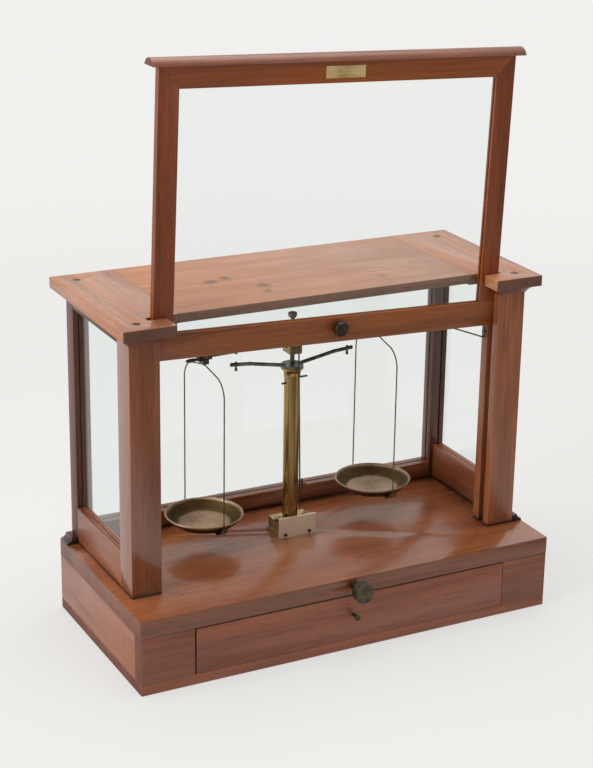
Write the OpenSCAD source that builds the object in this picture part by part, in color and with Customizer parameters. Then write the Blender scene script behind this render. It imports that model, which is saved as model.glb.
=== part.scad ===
// Apothecary balance in a glazed wooden case.
// The origin is the bottom centre of the base: X to the right, Y to the back, Z up.

/* [Base] */
// Width of the base box
base_w = 406; // [380:1:440]
// Depth of the base box
base_d = 190; // [180:1:215]
// Thickness of the bottom board
bottom_t = 9.5; // [6:0.5:14]
// Height of the drawer space between the bottom board and the top board
drawer_space_h = 44; // [40:1:60]
// Thickness of the top board of the base
deck_t = 15.5; // [15:0.5:20]
// Thickness of the side and back boards of the base
base_wall_t = 12; // [8:0.5:16]
// Width of the block to the left of the drawer front
left_block_w = 49.6; // [40:0.2:60]
// Width of the block to the right of the drawer front
right_block_w = 47; // [40:0.2:60]
// Thickness of the two front blocks and of the drawer front
front_t = 14; // [10:0.5:18]

/* [Drawer] */
// Gap round the drawer front
drawer_gap = 0.5; // [0.3:0.1:1]
// Gap at the left end of the drawer front
drawer_left_gap = 1.2; // [0.3:0.1:2]
// Gap under the drawer
drawer_under_gap = 0.3; // [0.2:0.1:1]
// Gap between a drawer side and its guide
drawer_side_gap = 0.6; // [0.4:0.1:1.5]
// Height of the drawer sides
drawer_side_h = 34; // [24:1:36]
// Thickness of the drawer sides and back
drawer_side_t = 6.5; // [5:0.5:9]
// Thickness of the drawer bottom
drawer_bottom_t = 4; // [3:0.5:6]
// Space between the drawer back and the base back
drawer_back_space = 6; // [2:1:12]
// Width of each guide beside the drawer
guide_w = 14; // [8:1:20]
// Height of each guide
guide_h = 12; // [6:1:20]
// Radius of the head of the pull pin
pull_head_r = 2.7; // [2:0.1:4]
// Radius of the stem of the pull pin
pull_stem_r = 1.4; // [1:0.1:1.8]
// How far the pull pin stands out of the drawer front
pull_reach = 9; // [6:0.5:14]

/* [Case frame] */
// Distance of the posts inside the ends of the base
case_side_setback = 10.5; // [6:0.5:14]
// Distance of the front posts behind the front edge of the base
case_front_setback = 43.6; // [30:0.2:50]
// Distance of the back posts in front of the back edge of the base
case_back_setback = 2.3; // [1:0.1:6]
// Height of the four posts
post_h = 235.2; // [220:0.2:260]
// Width of a front post
front_post_w = 27.5; // [24:0.5:32]
// Depth of a front post
front_post_d = 26; // [22:0.5:32]
// Width of a back post
back_post_w = 16; // [14:0.5:20]
// Depth of a back post
back_post_d = 15.7; // [12:0.1:20]
// Thickness of the side rails
side_rail_t = 12; // [9:0.5:13]
// Height of the side rails at the bottom
side_rail_h = 34.7; // [24:0.1:44]
// Height of the back rail at the bottom
back_rail_h = 17; // [12:0.5:26]
// Height of the rails at the top
top_rail_h = 11.9; // [8:0.1:18]
// Thickness of the glass
glass_t = 2; // [1.5:0.1:3]
// Depth of the groove that holds the glass
glass_groove = 4; // [2.5:0.5:5]
// Gap between glass and groove
glass_gap = 0.15; // [0.05:0.05:0.4]

/* [Case top] */
// Thickness of the two end boards
end_board_t = 9.8; // [8:0.1:14]
// Thickness of the centre panel
panel_t = 8.4; // [6:0.1:8.8]
// Width of each end board
end_board_w = 59.8; // [50:0.2:70]
// Overhang of the top beyond the posts at the sides
top_side_over = 9.5; // [8:0.5:14]
// Overhang of the end boards in front of the front posts
top_front_over = 12.4; // [9:0.2:16]
// Overhang of the top behind the back posts
top_back_over = 15.3; // [4:0.1:20]
// Reach of the ear of each end board inside its front post
ear_in = 10.5; // [8:0.5:14]
// Length of the tongue at each end of the centre panel
tongue_l = 8; // [4:0.5:12]
// Thickness of that tongue
tongue_t = 3; // [2:0.2:3.6]
// Height of the cove mouldings under the top
cove_h = 7.8; // [6:0.1:9]
// Projection of those mouldings
cove_out = 8.2; // [6:0.1:8.6]
// Width of the lip at the edge of a cove
cove_lip = 0.8; // [0.4:0.1:1.5]
// Radius of the hollow of those mouldings
cove_r = 12; // [9:0.5:20]
// Height of the coves at the feet of the posts
foot_cove_h = 6.6; // [6:0.1:10]
// Lip of the coves at the feet of the posts
foot_cove_lip = 2; // [1:0.1:4]
// Radius of the dark plugs in the end boards
plug_r = 3.5; // [2.5:0.1:4.5]

/* [Sash] */
// Thickness of the sash
sash_t = 7; // [6:0.1:9]
// Gap in front of and behind the sash in its groove
sash_gap = 0.4; // [0.3:0.1:0.8]
// Depth of the sash groove in the posts
sash_groove = 6.6; // [5:0.1:9]
// Play at each edge of the sash in its groove
sash_play = 3.9; // [2.6:0.1:4]
// Distance of the sash behind the front face of the post
sash_setback = 9.2; // [6:0.1:11]
// Width of the sash stiles
stile_w = 18; // [14:0.5:24]
// Height of the bottom rail of the sash
sash_bottom_h = 22.8; // [18:0.1:30]
// Height of the top rail of the sash
sash_top_h = 18.9; // [14:0.1:26]
// Gap between the cap and the top of the case when the sash is closed
sash_cap_gap = 0.6; // [0.3:0.1:4]
// Travel of the sash
sash_travel = 202; // [160:1:204]
// Gap under the closed sash
sash_under_gap = 0.3; // [0.1:0.1:1]
// Lean of the raised sash in its own plane, in degrees
sash_lean = 1.94; // [0:0.01:1.94]
// Height of the cap moulding
cap_h = 6.5; // [5:0.5:9]
// Overhang of the cap in front and behind
cap_over = 5.5; // [3:0.1:8]
// Overhang of the cap at the ends
cap_end_over = 7.4; // [3:0.1:10]
// Thickness of the glass in the sash
sash_glass_t = 1.8; // [1.4:0.1:2.4]
// Radius of the sash knob
sash_knob_r = 6.6; // [5:0.1:9]
// How far the sash knob stands out of the sash
sash_knob_reach = 8; // [6.5:0.5:12]
// Distance of the sash knob to the right of the middle
sash_knob_x = 6; // [0:0.5:8]
// Length of the brass plate
plate_w = 37; // [30:0.5:44]
// Height of the brass plate
plate_h = 10.3; // [8:0.1:13]
// Thickness of the brass plate
plate_t = 0.7; // [0.5:0.1:1.2]
// Radius of the stay wire
stay_r = 0.7; // [0.5:0.05:1]
// Length of the lying leg of the stay
stay_reach = 42; // [30:1:48]
// Height of the lying leg of the stay above the base
stay_z = 182; // [150:1:184]
// Angle of the swung stay behind the plane of the sash, in degrees
stay_swing = 71.5; // [50:0.5:80]

/* [Column] */
// Place of the column to the right of the middle
balance_x = -4.5; // [-8:0.5:8]
// Place of the column behind the middle
balance_y = 24; // [22:0.5:28]
// Radius of the column
column_r = 7.2; // [6.4:0.1:7.6]
// Length of the column above its foot
column_l = 137.5; // [130:0.5:145]
// Radius of the bore of the column
column_bore_r = 5; // [4:0.1:5.6]
// Radius of the lifting rod
rod_r = 2.05; // [1.6:0.05:2.6]
// Running gap of the lifting rod
rod_gap = 0.06; // [0.03:0.01:0.1]
// Width of the foot block
foot_w = 35; // [32:0.5:40]
// Depth of the foot block
foot_d = 23.5; // [22:0.5:28]
// Height of the foot block
foot_h = 13.5; // [12:0.5:18]
// Height of the flange of the foot block
foot_flange_h = 3; // [2:0.5:5]
// Reach of the flange beyond the block
foot_flange_out = 1; // [0.5:0.1:3]
// Width of the index plate
index_w = 37.5; // [34:0.5:42]
// Height of the index plate
index_h = 19.3; // [15:0.1:24]
// Thickness of the index plate
index_t = 1.3; // [0.8:0.1:2]
// Greatest radius of the collar
collar_r = 10.4; // [9.5:0.1:11]
// Height of the collar
collar_h = 12; // [10:0.5:16]
// Radius of the arrest hub
hub_r = 10; // [8:0.5:11]
// Thickness of the arrest hub
hub_t = 2.5; // [2:0.1:4]
// Reach of the arrest pads from the column
pad_x = 56; // [48:0.5:62]
// Rise of the arms to their bend
arm_rise = 7; // [5:0.1:8]
// Radius of the arms
arm_r = 1.7; // [1.2:0.1:2]

/* [Release] */
// Place of the release shaft to the right of the middle
release_x = -1; // [-2:0.5:2]
// Radius of the release knob, whose rim is level with the underside of the deck
release_knob_r = 9; // [8:0.1:9.5]
// Thickness of the release knob
release_knob_t = 9.5; // [6:0.5:12]
// How far the release knob stands out of the base
release_reach = 22; // [16:0.5:26]
// Radius of the release shaft
shaft_r = 2; // [1.6:0.1:2.4]
// Travel of the lifting rod
lift = 4; // [2:0.1:4]
// Width of the cam
cam_w = 5; // [4:0.5:6]

/* [Beam] */
// Height of the knife edge of the beam above the deck
knife_h = 187; // [185:0.2:196]
// Length of each arm of the beam
arm_l = 87; // [82:0.5:92]
// Thickness of the beam
beam_t = 3; // [2.4:0.1:3.6]
// Height of the beam above its knife edge at the middle
beam_rise = 12; // [9:0.5:15]
// Depth of the beam below its knife edge
beam_drop = 4.4; // [3.6:0.1:4.8]
// Lean of the beam at rest, left end down, in degrees
beam_lean = 1.4; // [0:0.1:2.5]
// Space between the tip of the pointer and the foot block when the beam is lowered
pointer_clear = 0.9; // [0.6:0.1:3]
// Radius of the pointer
pointer_r = 0.7; // [0.5:0.05:1]
// Distance of the pointer in front of the column's axis
pointer_out = 12.4; // [12.2:0.1:13]
// Radius of the gravity bob
bob_r = 4.05; // [3:0.05:5]

/* [Pans] */
// Radius of the pans at the rim
pan_r = 35.3; // [30:0.1:40]
// Depth of the pans
pan_depth = 8; // [7:0.5:14]
// Thickness of the pan metal
pan_t = 0.8; // [0.6:0.1:1.2]
// Radius of the flat bottom of the pans
pan_flat_r = 26; // [20:0.5:28]
// Height of the pan rims under the end knives
pan_drop = 152.6; // [140:0.2:153]
// Radius of the bow wire
bow_r = 0.6; // [0.5:0.05:0.9]
// Gap between the pan rim and the bow wire
bow_gap = 1.1; // [0.6:0.1:3]
// Turn of the left pan about its own axis, in degrees
left_bow_turn = 4; // [-10:0.2:10]
// Turn of the right pan about its own axis, in degrees
right_bow_turn = 1.6; // [-10:0.2:10]

/* [Hidden] */

// Colours
mahogany = [0.50, 0.22, 0.13];
dark_mahogany = [0.33, 0.15, 0.10];
pale_brass = [0.72, 0.64, 0.44];
old_brass = [0.55, 0.43, 0.20];
dark_bronze = [0.24, 0.24, 0.20];
steel = [0.36, 0.38, 0.37];
clear_glass = [0.85, 0.92, 0.92, 0.3];

// Clearances and small fits
fit = 0.05;
screw_fit = 0.1;
eps = 0.01;

// Heights of the base and of the case
drawer_floor_z = bottom_t;
deck_under_z = bottom_t + drawer_space_h;
deck_z = deck_under_z + deck_t;
post_top_z = deck_z + post_h;
top_z = post_top_z + end_board_t;

// Centre of the hollow of the coves, from the face of the post and from the top of the post
cove_foot = 0.5;
cove_run = cove_out - cove_foot;
cove_fall = cove_h - cove_lip;
cove_chord = sqrt(cove_run * cove_run + cove_fall * cove_fall);
cove_reach = sqrt(cove_r * cove_r - cove_chord * cove_chord / 4);
cove_centre_out = (cove_out + cove_foot) / 2 + cove_reach * cove_fall / cove_chord;
cove_centre_z = post_top_z - (cove_h + cove_lip) / 2 - cove_reach * cove_run / cove_chord;

// Plan of the base
base_x = base_w / 2;
base_front_y = -base_d / 2;
base_back_y = base_d / 2;
opening_x0 = -base_x + left_block_w;
opening_x1 = base_x - right_block_w;
inner_back_y = base_back_y - base_wall_t;

// Drawer
drawer_x0 = opening_x0 + drawer_left_gap;
drawer_x1 = opening_x1 - drawer_gap;
drawer_z0 = drawer_floor_z + drawer_under_gap;
drawer_front_h = drawer_space_h - drawer_under_gap - 2 * drawer_gap;
drawer_back_y = inner_back_y - drawer_back_space;
box_x0 = drawer_x0 + drawer_side_gap;
box_x1 = drawer_x1 - drawer_side_gap;
box_y0 = base_front_y + front_t;
drawer_mid_x = (drawer_x0 + drawer_x1) / 2;
pull_x = drawer_mid_x - 2;
pull_z = drawer_z0 + drawer_front_h * 0.55;
pull_head_l = 4;

// Plan of the case
case_x = base_x - case_side_setback;
front_y = base_front_y + case_front_setback;
front_in_x = case_x - front_post_w;
front_back_y = front_y + front_post_d;
back_y = base_back_y - case_back_setback;
back_in_y = back_y - back_post_d;
back_in_x = case_x - back_post_w;
side_glass_x = case_x - side_rail_t / 2;
back_glass_y = back_in_y + back_post_d / 2;
top_rail_z = post_top_z - top_rail_h;

// Top
top_x = case_x + top_side_over;
panel_x = top_x - end_board_w;
top_front_y = front_y - top_front_over;
top_back_y = back_y + top_back_over;
ear_x = front_in_x - ear_in;
tongue_z = top_z - panel_t * 0.72;
plug_t = 5;

// Sash
sash_y0 = front_y + sash_setback;
sash_y1 = sash_y0 + sash_t;
groove_y0 = sash_y0 - sash_gap;
groove_y1 = sash_y1 + sash_gap;
groove_x = front_in_x + sash_groove;
sash_x = groove_x - sash_play;
sash_z0 = deck_z + sash_under_gap + sash_travel;
sash_h = top_z - deck_z - sash_under_gap + sash_cap_gap;
sash_z1 = sash_z0 + sash_h;
sash_open_z0 = sash_z0 + sash_bottom_h;
sash_open_z1 = sash_z1 - sash_top_h;
sash_open_x = sash_x - stile_w;
sash_mid_y = (sash_y0 + sash_y1) / 2;
sash_rebate = 4;
sash_knob_z = sash_z0 + sash_bottom_h / 2 + 1.95;
sash_knob_stem_r = 3.2;
sash_knob_head = 5.2;
sash_knob_neck = 0.55;
plate_z = sash_z1 - sash_top_h / 2;

// Stay
eye_gap = 0.08;
eye_ring_t = 0.9;
stay_wall_gap = eye_gap + eye_ring_t + 0.12;
stay_x = front_in_x - stay_r - stay_wall_gap;
stay_y = groove_y1 + 2.8;
stay_lie_z = deck_z + stay_z;
stay_up = 17;
eye_wire_r = 0.6;
eye_z = [stay_lie_z + 6, stay_lie_z + 13];

// Column and foot
foot_y0 = balance_y - foot_d + 9;
foot_y1 = foot_y0 + foot_d;
foot_z1 = deck_z + foot_h;
column_z0 = foot_z1;
column_z1 = column_z0 + column_l;
column_seat = 3;
collar_z1 = column_z1 + collar_h - 2.5;
hub_z0 = collar_z1;
hub_z1 = hub_z0 + hub_t;
index_z1 = deck_z + index_h;
foot_screw_x = foot_w / 2 - 3.5;
foot_screw_y = balance_y - 5;
foot_screw_r = 1.6;
foot_screw_head_r = 4.2;
foot_screw_head_t = 2.5;
foot_screw_depth = 8;
foot_slot = [12, 0.9, 1.6];
foot_slot_turn = 35;
index_screw_x = index_w / 2 - 6.55;
index_screw_z = deck_z + 2.6;
index_screw_r = 0.9;
index_screw_l = 4;
index_screw_head_r = 1.6;
index_screw_head_t = 0.8;
pin_up = [2, 6];
pin_r = 0.9;
pad_screw_r = 0.9;
pad_screw_l = 4.5;
pad_r = 1.2;
pad_t = 0.6;
pad_up = arm_r + 0.25;
pad_end_r = 1.3;
pad_end_l = 2.6;
arm_knuckle = 0.2;
arm_root_z = hub_z0 + arm_r + 0.05;
bend_x = pad_x - 13.5;
bend_z = (hub_z0 + hub_z1) / 2 + arm_rise;
tip_x = pad_x + 4;
tip_z = bend_z + 1.4;
pad_arm_z = bend_z + (tip_z - bend_z) * (pad_x - bend_x) / (tip_x - bend_x);

// Release: the follower height is least_h + lift at rest and least_h when the knob is turned back
release_z = deck_under_z + release_knob_r;
least_h = shaft_r + 0.6;
lift_rate = lift / 90;
foot_disc_r = 7.2;
foot_disc_t = 2;
follower_gap = 0.05;
disc_z0 = release_z + least_h + lift + follower_gap;
chamber_r = foot_disc_r + 0.4;
foot_chamber_h = max(1.5, disc_z0 + foot_disc_t + 0.5 - deck_z);
cam_y0 = balance_y;
cam_reach = norm([least_h + lift, lift_rate * 180 / PI]);
chamber_gap = 0.8;
shaft_end_y = cam_y0 + cam_w + 6;
knob_boss_r = shaft_r + 2;
knob_edge = 0.8;
knob_plug = 2;
knob_y0 = base_front_y - release_reach;

// Fork and knife edge
knife_z = deck_z + knife_h;
fork_w = 12;
fork_d = 15;
fork_arm_d = 3;
fork_floor_h = 7;
fork_z0 = knife_z - 13;
bearing_t = 1.5;
bearing_w = 8;
bearing_play = 0.02;
fork_rod_seat = 3;
hold_screw_r = 1.3;
hold_screw_up = 5;

// Knives
knife_w = 5;
knife_tall = 6;
knife_l = fork_d;
end_knife_w = 3.2;
end_knife_tall = 4;
end_knife_l = 9;

// Beam outline, its windows and its ends
beam_top_x = 7;
beam_frame = 2.1;
window_x = 12;
window_w = 16;
window_pitch = 21;
end_block_in = 7;
end_block_t = 3.5;
end_block_low = 6.1;
end_block_high = 3;
nut_r = 1.8;
nut_l = 6;
nut_screw_r = 1.2;
nut_screw_over = 2.2;
nut_low = end_block_low - nut_screw_r;
nut_x = arm_l + 12;
bob_z = 17.8;
bob_h = 6.8;
bob_screw_r = 1.1;
bob_cap = 3;
beam_peg_l = 1.4;
beam_peg_r = 1.2;
screw_slit = [1.2, 8, end_block_high + 2];
pointer_l = knife_h - foot_h - lift - pointer_clear;
pointer_taper = 16;
pointer_tip_r = 0.15;
bracket_w = 4;
bracket_h = 3;
bracket_nose = 1.5;
rider_up = 30;
rider_wire = 0.8;
rider_w = 7.8;
rider_h = 10.5;

// Stirrups and bows, measured from the end knife edge
cheek_in = 2.6;
cheek_t = 1.8;
cheek_w = 6;
stirrup_bar_z = -8.4;
stirrup_bar_r = 0.6;
ring_r = 1.5;
ring_wire_r = 0.5;
ring_play = 0.1;
ring_z = stirrup_bar_z + stirrup_bar_r + ring_play - ring_r + ring_wire_r;
bow_top_z = ring_z - ring_r;
bow_x = pan_r + bow_gap + bow_r;
shoulder_r = 18;
shoulder_slope = 12;
bead_r = bow_r + 0.12;
bead_gap = 0.12;
bead_turn = 0.5;
neck_in = 0.6;
neck_r = 1.5 * bow_r;
neck_up = 0.25;
neck_down = 1;
shoulder_end_x = bow_x - shoulder_r * (1 - sin(shoulder_slope));
shoulder_z = bow_top_z - shoulder_end_x * tan(shoulder_slope) - shoulder_r * cos(shoulder_slope);
wall_steps = 8;
wall_curve = 1.5;
strap_w = 5;
strap_t = 1.2;
strap_z = -pan_drop - pan_depth - pan_t;
strap_flat = pan_flat_r + 4;
strap_end = bow_x + 1.6;
strap_rise = 5;
strap_hole_depth = 1.4;
tab_t = 0.8;
tab_h = 2.5;

// A block between two corners
module block(x, y, z) {
  translate([x[0], y[0], z[0]]) cube([x[1] - x[0], y[1] - y[0], z[1] - z[0]]);
}

// The same piece on the right and, mirrored, on the left
module both_sides() {
  children();
  mirror([1, 0, 0]) children();
}

// A round bar from point a to point b
module bar(a, b, r) {
  d = b - a;
  length = norm(d);
  translate(a) rotate([0, acos(d.z / length), atan2(d.y, d.x)])
    cylinder(h = length, r = r, $fn = 24);
}

// A round bar along Y from y0 to y1
module bar_y(x, z, y0, y1, r) {
  translate([x, y0, z]) rotate([-90, 0, 0]) cylinder(h = y1 - y0, r = r, $fn = 48);
}

// A round bar along X from x0 to x1
module bar_x(y, z, x0, x1, r) {
  translate([x0, y, z]) rotate([0, 90, 0]) cylinder(h = x1 - x0, r = r, $fn = 48);
}

// Places its children at the column's axis, with z as in the case
module at_column() {
  translate([balance_x, balance_y, 0]) children();
}

// Places its children in the beam's own frame: origin at the knife edge, leaning as at rest
module at_beam() {
  translate([balance_x, balance_y, knife_z]) rotate([0, -beam_lean, 0]) children();
}

// Places its children at an end knife edge, hanging plumb; side is -1 on the left and 1 on the right
module at_end(side) {
  translate([
    balance_x + side * arm_l * cos(beam_lean),
    balance_y,
    knife_z + side * arm_l * sin(beam_lean)
  ]) children();
}

// Leans the sash about the axis of its knob
module leaning() {
  translate([sash_knob_x, 0, sash_knob_z]) rotate([0, sash_lean, 0])
    translate([-sash_knob_x, 0, -sash_knob_z]) children();
}

// The hollow for the cam, its follower and the shaft, cut in the deck
module release_hollow() {
  translate([balance_x, balance_y, deck_under_z - eps])
    cylinder(h = deck_t + 2 * eps, r = chamber_r, $fn = 64);
  block(
    [release_x - cam_reach - chamber_gap, release_x + cam_reach + chamber_gap],
    [cam_y0 - chamber_gap, cam_y0 + cam_w + chamber_gap],
    [deck_under_z - eps, release_z + cam_reach + chamber_gap]
  );
  bar_y(release_x, release_z, base_front_y - eps, shaft_end_y + fit, shaft_r + fit);
}

module base_top_board() {
  color(mahogany) difference() {
    block([-base_x, base_x], [base_front_y, base_back_y], [deck_under_z, deck_z]);
    release_hollow();
    for (side = [-1, 1])
      translate([balance_x + side * foot_screw_x, foot_screw_y, deck_z - foot_screw_depth - 0.5])
        cylinder(h = foot_screw_depth + 1, r = foot_screw_r + screw_fit, $fn = 32);
  }
}

module base_sides() {
  color(mahogany) both_sides()
    block([base_x - base_wall_t, base_x], [base_front_y + front_t, base_back_y], [bottom_t, deck_under_z]);
}

module base_back_board() {
  inner_x = base_x - base_wall_t;
  color(mahogany) block([-inner_x, inner_x], [inner_back_y, base_back_y], [bottom_t, deck_under_z]);
}

module base_bottom_board() {
  color(mahogany) block([-base_x, base_x], [base_front_y, base_back_y], [0, bottom_t]);
}

module base_front_blocks() {
  color(mahogany) {
    block([-base_x, opening_x0], [base_front_y, base_front_y + front_t], [bottom_t, deck_under_z]);
    block([opening_x1, base_x], [base_front_y, base_front_y + front_t], [bottom_t, deck_under_z]);
  }
}

module drawer_guides() {
  color(dark_mahogany) for (x = [drawer_x0 - guide_w, drawer_x1])
    block([x, x + guide_w], [box_y0, inner_back_y], [bottom_t, bottom_t + guide_h]);
}

module drawer_front() {
  color(mahogany) difference() {
    block([drawer_x0, drawer_x1], [base_front_y, box_y0], [drawer_z0, drawer_z0 + drawer_front_h]);
    bar_y(pull_x, pull_z, base_front_y - eps, base_front_y + front_t * 0.7, pull_stem_r + fit);
  }
}

module drawer_sides() {
  color(mahogany) {
    block([box_x0, box_x0 + drawer_side_t], [box_y0, drawer_back_y], [drawer_z0, drawer_z0 + drawer_side_h]);
    block([box_x1 - drawer_side_t, box_x1], [box_y0, drawer_back_y], [drawer_z0, drawer_z0 + drawer_side_h]);
  }
}

module drawer_back() {
  color(mahogany) block(
    [box_x0 + drawer_side_t, box_x1 - drawer_side_t],
    [drawer_back_y - drawer_side_t, drawer_back_y],
    [drawer_z0, drawer_z0 + drawer_side_h]
  );
}

module drawer_bottom() {
  color(mahogany) block(
    [box_x0 + drawer_side_t, box_x1 - drawer_side_t],
    [box_y0, drawer_back_y - drawer_side_t],
    [drawer_z0, drawer_z0 + drawer_bottom_t]
  );
}

module drawer_pull_pin() {
  head_y = base_front_y - pull_reach;
  color(dark_bronze) {
    bar_y(pull_x, pull_z, head_y + pull_head_l - eps, base_front_y + front_t * 0.7 - 0.2, pull_stem_r);
    translate([pull_x, head_y, pull_z]) rotate([-90, 0, 0]) rotate_extrude($fn = 48)
      polygon([
        [0, 0], [pull_head_r * 0.6, 0], [pull_head_r * 0.9, 0.5], [pull_head_r, 1.3],
        [pull_head_r, 2.2], [pull_head_r * 0.85, 3.2], [pull_stem_r, pull_head_l], [0, pull_head_l]
      ]);
  }
}

// A front post on the right; the left one is its mirror image
module front_post() {
  difference() {
    block([front_in_x, case_x], [front_y, front_back_y], [deck_z, post_top_z]);
    block([front_in_x - eps, groove_x], [groove_y0, groove_y1], [deck_z - eps, post_top_z + eps]);
    side_glass_space();
  }
}

module front_left_post() {
  color(mahogany) mirror([1, 0, 0]) front_post();
}

module front_right_post() {
  color(mahogany) front_post();
}

// The space that a side pane needs in its frame
module side_glass_space() {
  block(
    [side_glass_x - glass_t / 2 - glass_gap, side_glass_x + glass_t / 2 + glass_gap],
    [front_back_y - glass_groove - glass_gap, back_in_y + glass_groove + glass_gap],
    [deck_z + side_rail_h - glass_groove - glass_gap, top_rail_z + glass_groove + glass_gap]
  );
}

// The space that the back pane needs in its frame
module back_glass_space() {
  block(
    [-back_in_x - glass_groove - glass_gap, back_in_x + glass_groove + glass_gap],
    [back_glass_y - glass_t / 2 - glass_gap, back_glass_y + glass_t / 2 + glass_gap],
    [deck_z + back_rail_h - glass_groove - glass_gap, top_rail_z + glass_groove + glass_gap]
  );
}

module back_posts() {
  color(mahogany) both_sides() difference() {
    block([back_in_x, case_x], [back_in_y, back_y], [deck_z, post_top_z]);
    side_glass_space();
    back_glass_space();
  }
}

// Cove capitals round three sides of the front posts
module post_capitals() {
  z0 = post_top_z - cove_h;
  x0 = front_in_x - cove_out;
  x1 = case_x + cove_out;
  y0 = front_y - cove_out;
  color(dark_mahogany) both_sides() difference() {
    block([x0, x1], [y0, front_back_y], [z0, post_top_z]);
    block([front_in_x, case_x], [front_y, front_back_y + eps], [z0 - eps, post_top_z + eps]);
    bar_x(front_y - cove_centre_out, cove_centre_z, x0 - eps, x1 + eps, cove_r);
    for (x = [front_in_x - cove_centre_out, case_x + cove_centre_out])
      bar_y(x, cove_centre_z, y0 - eps, front_back_y + eps, cove_r);
    block([x0 - eps, front_in_x + eps], [groove_y0, front_back_y + eps], [z0 - eps, post_top_z + eps]);
  }
}

module side_cornices() {
  z0 = post_top_z - cove_h;
  x1 = case_x + cove_out;
  color(mahogany) both_sides() difference() {
    block([case_x, x1], [front_back_y, back_y], [z0, post_top_z]);
    bar_y(case_x + cove_centre_out, cove_centre_z, front_back_y - eps, back_y + eps, cove_r);
  }
}

// A cove block beside the foot of a post, on the right side
module foot_cove(y) {
  difference() {
    block([case_x, base_x], y, [deck_z, deck_z + foot_cove_h]);
    bar_y(base_x, deck_z + foot_cove_h, y[0] - eps, y[1] + eps, foot_cove_h - foot_cove_lip);
  }
}

module foot_coves() {
  color(dark_mahogany) {
    foot_cove([front_y, front_back_y]);
    foot_cove([back_in_y, back_y]);
    mirror([1, 0, 0]) foot_cove([back_in_y, back_y]);
  }
}

module bottom_rails() {
  color(mahogany) {
    both_sides() difference() {
      block([case_x - side_rail_t, case_x], [front_back_y, back_in_y], [deck_z, deck_z + side_rail_h]);
      side_glass_space();
    }
    difference() {
      block([-back_in_x, back_in_x], [back_in_y, back_y], [deck_z, deck_z + back_rail_h]);
      back_glass_space();
    }
  }
}

module top_rails() {
  color(mahogany) {
    both_sides() difference() {
      block([case_x - side_rail_t, case_x], [front_back_y, back_in_y], [top_rail_z, post_top_z]);
      side_glass_space();
    }
    difference() {
      block([-back_in_x, back_in_x], [back_in_y, back_y], [top_rail_z, post_top_z]);
      back_glass_space();
    }
  }
}

module side_panes() {
  color(clear_glass) both_sides() block(
    [side_glass_x - glass_t / 2, side_glass_x + glass_t / 2],
    [front_back_y - glass_groove, back_in_y + glass_groove],
    [deck_z + side_rail_h - glass_groove, top_rail_z + glass_groove]
  );
}

module back_pane() {
  color(clear_glass) block(
    [-back_in_x - glass_groove, back_in_x + glass_groove],
    [back_glass_y - glass_t / 2, back_glass_y + glass_t / 2],
    [deck_z + back_rail_h - glass_groove, top_rail_z + glass_groove]
  );
}

module top_centre_panel() {
  color(mahogany) {
    block([-panel_x, panel_x], [groove_y1, top_back_y], [top_z - panel_t, top_z]);
    both_sides()
      block([panel_x - eps, panel_x + tongue_l], [groove_y1, top_back_y], [tongue_z, tongue_z + tongue_t]);
  }
}

module top_end_boards() {
  color(mahogany) both_sides() difference() {
    translate([0, 0, post_top_z]) linear_extrude(end_board_t) polygon([
      [panel_x, groove_y1], [panel_x, top_back_y], [top_x, top_back_y], [top_x, top_front_y],
      [ear_x, top_front_y], [ear_x, groove_y0], [groove_x, groove_y0], [groove_x, groove_y1]
    ]);
    block(
      [panel_x - eps, panel_x + tongue_l + 0.5],
      [groove_y1 - eps, top_back_y + eps],
      [tongue_z - fit, tongue_z + tongue_t + fit]
    );
    plug_places(plug_r + fit);
  }
}

// The four places of the plugs, on the right side
module plug_places(r) {
  for (p = [[case_x - 9, front_y + 4.5], [case_x - 9.5, back_y - 2.5]])
    translate([p[0], p[1], top_z - plug_t]) cylinder(h = plug_t + 1, r = r, $fn = 32);
}

module top_plugs() {
  color(dark_bronze) both_sides() intersection() {
    plug_places(plug_r);
    block([0, top_x], [top_front_y, top_back_y], [0, top_z - 0.3]);
  }
}

// The space that the pane needs in the sash
module sash_glass_space() {
  block(
    [-sash_open_x - sash_rebate - glass_gap, sash_open_x + sash_rebate + glass_gap],
    [sash_mid_y - sash_glass_t / 2 - glass_gap, sash_mid_y + sash_glass_t / 2 + glass_gap],
    [sash_open_z0 - sash_rebate - glass_gap, sash_open_z1 + sash_rebate + glass_gap]
  );
}

module sash_stiles() {
  color(mahogany) leaning() both_sides() difference() {
    translate([0, sash_y1, 0]) rotate([90, 0, 0]) linear_extrude(sash_t) polygon([
      [sash_open_x, sash_open_z0], [sash_x, sash_open_z0], [sash_x, sash_z1], [sash_open_x, sash_open_z1]
    ]);
    sash_glass_space();
  }
}

module sash_top_rail() {
  color(mahogany) leaning() difference() {
    translate([0, sash_y1, 0]) rotate([90, 0, 0]) linear_extrude(sash_t) polygon([
      [-sash_open_x, sash_open_z1], [sash_open_x, sash_open_z1], [sash_x, sash_z1], [-sash_x, sash_z1]
    ]);
    sash_glass_space();
  }
}

module sash_bottom_rail() {
  color(mahogany) leaning() difference() {
    block([-sash_x, sash_x], [sash_y0, sash_y1], [sash_z0, sash_open_z0]);
    sash_glass_space();
    bar_y(sash_knob_x, sash_knob_z, sash_y0 - eps, sash_y1 + eps, sash_knob_stem_r + fit);
  }
}

// Half-round cap, a slice of a cylinder along X
module sash_cap() {
  half = sash_t / 2 + cap_over;
  r = (cap_h * cap_h + half * half) / (2 * cap_h);
  color(dark_mahogany) leaning() intersection() {
    bar_x(sash_mid_y, sash_z1 + cap_h - r, -sash_x - cap_end_over, sash_x + cap_end_over, r);
    block(
      [-sash_x - cap_end_over - 1, sash_x + cap_end_over + 1],
      [sash_mid_y - half - 1, sash_mid_y + half + 1],
      [sash_z1, sash_z1 + cap_h + 1]
    );
  }
}

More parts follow.
